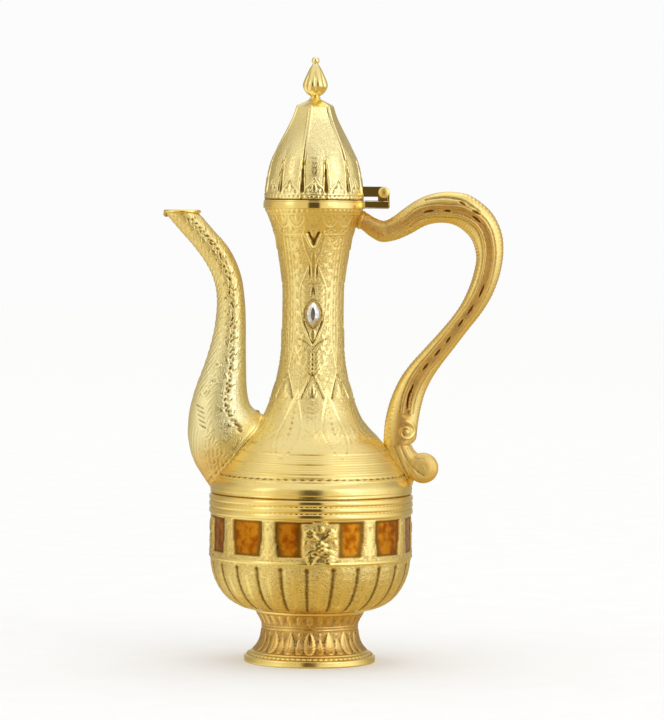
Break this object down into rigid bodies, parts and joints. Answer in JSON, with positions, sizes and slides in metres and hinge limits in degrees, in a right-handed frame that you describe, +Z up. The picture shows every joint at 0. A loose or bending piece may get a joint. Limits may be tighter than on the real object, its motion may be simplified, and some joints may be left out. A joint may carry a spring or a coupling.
{
  "type": "coffee pot",
  "caption": "Long-necked dallah coffee pot with a swept spout, scrolled handle, flared foot and hinged domed lid with a finial.",
  "frame": {"origin": "centre of the foot's resting ring, on the surface that the pot stands on", "axes": "+Z up along the pot's axis, +X from the axis towards the handle and -X towards the spout, -Y the side seen with the spout at the left"},
  "size_m": [0.1665, 0.1, 0.2962],
  "materials": {
    "gold_engraved": "gold plate over fine chased relief, bright on the high parts and brown in the recesses",
    "gold_polished": "mirror-polished gold plate",
    "gold_plain": "plain gold plate, satin",
    "clear_stone": "clear faceted paste stone with a silvered back",
    "steel": "plain stainless steel",
    "seal": "food-grade silicone, pale grey"
  },
  "bodies": {
    "pot": {"foot": "gold_engraved", "base_plate": "gold_plain", "foot_stud": "steel", "foot_washer": "steel", "foot_nut": "steel", "vessel": "gold_engraved", "belt_ring": "gold_polished", "neck_shell": "gold_engraved", "rim_collar": "gold_polished", "gem_bezels": "gold_polished", "gems": "clear_stone", "spout": "gold_engraved", "spout_lip": "gold_polished", "handle": "gold_engraved", "handle_bracket": "gold_engraved", "handle_screws": "steel", "handle_seals": "seal", "hinge_body_leaf": "gold_polished", "hinge_pin": "gold_polished"},
    "lid": {"lid": "gold_engraved", "lid_skirt": "gold_plain", "finial": "gold_polished", "finial_washer": "steel", "finial_nut": "steel", "hinge_lid_leaf": "gold_polished"}
  },
  "joints": [
    {"name": "lid_hinge", "type": "hinge", "parent": "pot", "child": "lid", "pos_m": [0.034, 0, 0.2303], "axis": [0, 1, 0], "range_deg": [0, 105]}
  ]
}
